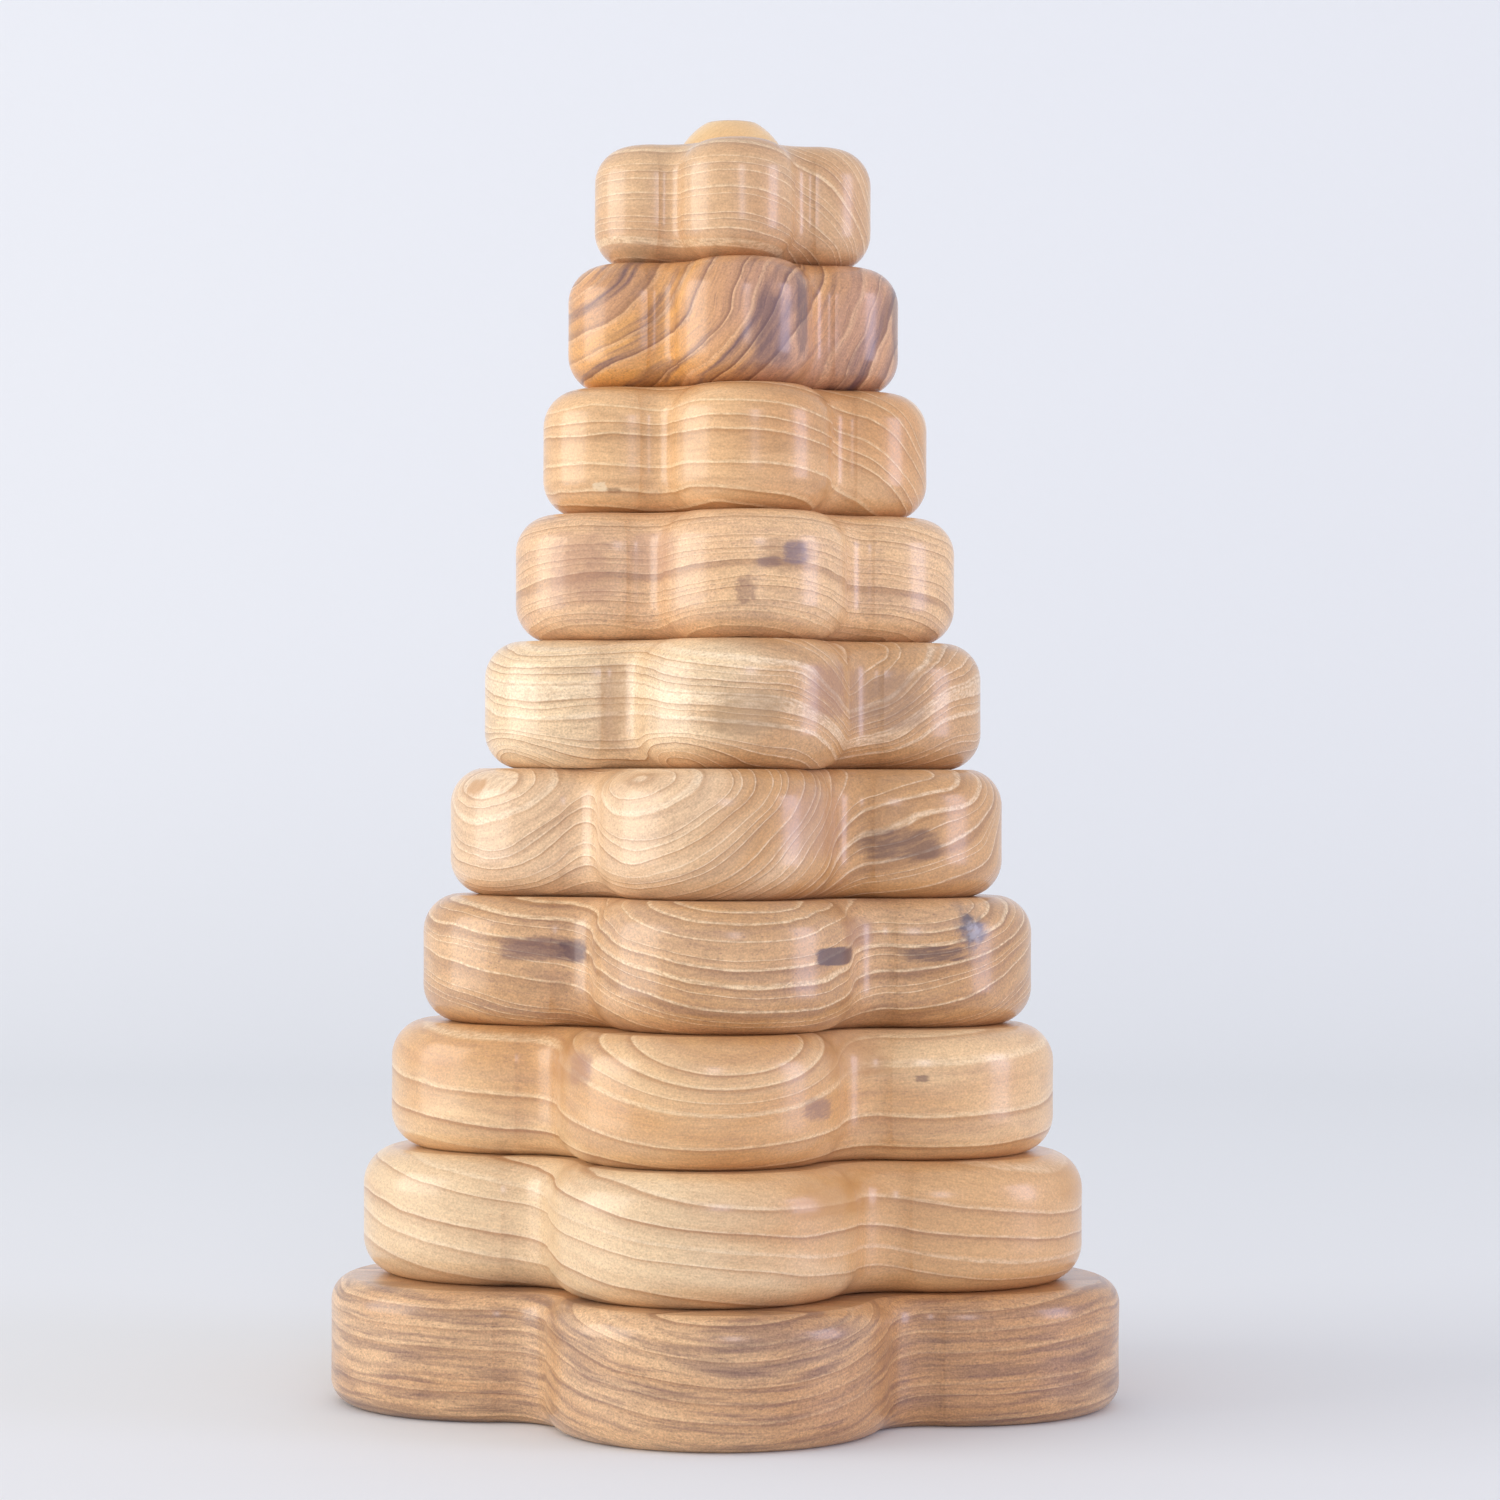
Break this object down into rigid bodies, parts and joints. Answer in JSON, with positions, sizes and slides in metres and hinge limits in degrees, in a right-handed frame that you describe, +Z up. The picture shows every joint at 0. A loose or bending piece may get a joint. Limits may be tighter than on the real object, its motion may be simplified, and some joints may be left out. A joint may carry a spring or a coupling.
{
  "type": "stacking ring puzzle",
  "caption": "Stacking puzzle of scalloped hardwood rings, each smaller than the one below, on a round peg that stands in the lowest ring.",
  "frame": {"origin": "on the peg's axis, at the underside of the foot", "axes": "+Z up along the peg, -Y towards the front lobe of the foot, +X to the right seen from the front"},
  "size_m": [0.1248, 0.1222, 0.2043],
  "materials": {
    "base_ring": "oiled walnut, satin",
    "peg": "sanded birch dowel, satin",
    "ring_02": "oiled ash, satin",
    "ring_03": "oiled elm, satin",
    "ring_04": "oiled elm, satin",
    "ring_05": "oiled ash, satin",
    "ring_06": "oiled ash, satin",
    "ring_07": "oiled cherry, satin",
    "ring_08": "oiled elm, satin",
    "ring_09": "oiled cherry, satin",
    "ring_10": "oiled elm, satin"
  },
  "bodies": {
    "foot": {"base_ring": "base_ring", "peg": "peg"},
    "ring_02": {"ring_02": "ring_02"},
    "ring_03": {"ring_03": "ring_03"},
    "ring_04": {"ring_04": "ring_04"},
    "ring_05": {"ring_05": "ring_05"},
    "ring_06": {"ring_06": "ring_06"},
    "ring_07": {"ring_07": "ring_07"},
    "ring_08": {"ring_08": "ring_08"},
    "ring_09": {"ring_09": "ring_09"},
    "ring_10": {"ring_10": "ring_10"}
  },
  "joints": [
    {"name": "lift_02", "type": "slide", "parent": "foot", "child": "ring_02", "axis": [0, 0, 1], "range_m": [0, 0.187]},
    {"name": "lift_03", "type": "slide", "parent": "ring_02", "child": "ring_03", "axis": [0, 0, 1], "range_m": [0, 0.167]},
    {"name": "lift_04", "type": "slide", "parent": "ring_03", "child": "ring_04", "axis": [0, 0, 1], "range_m": [0, 0.147]},
    {"name": "lift_05", "type": "slide", "parent": "ring_04", "child": "ring_05", "axis": [0, 0, 1], "range_m": [0, 0.127]},
    {"name": "lift_06", "type": "slide", "parent": "ring_05", "child": "ring_06", "axis": [0, 0, 1], "range_m": [0, 0.107]},
    {"name": "lift_07", "type": "slide", "parent": "ring_06", "child": "ring_07", "axis": [0, 0, 1], "range_m": [0, 0.087]},
    {"name": "lift_08", "type": "slide", "parent": "ring_07", "child": "ring_08", "axis": [0, 0, 1], "range_m": [0, 0.067]},
    {"name": "lift_09", "type": "slide", "parent": "ring_08", "child": "ring_09", "axis": [0, 0, 1], "range_m": [0, 0.047]},
    {"name": "lift_10", "type": "slide", "parent": "ring_09", "child": "ring_10", "axis": [0, 0, 1], "range_m": [0, 0.027]}
  ]
}
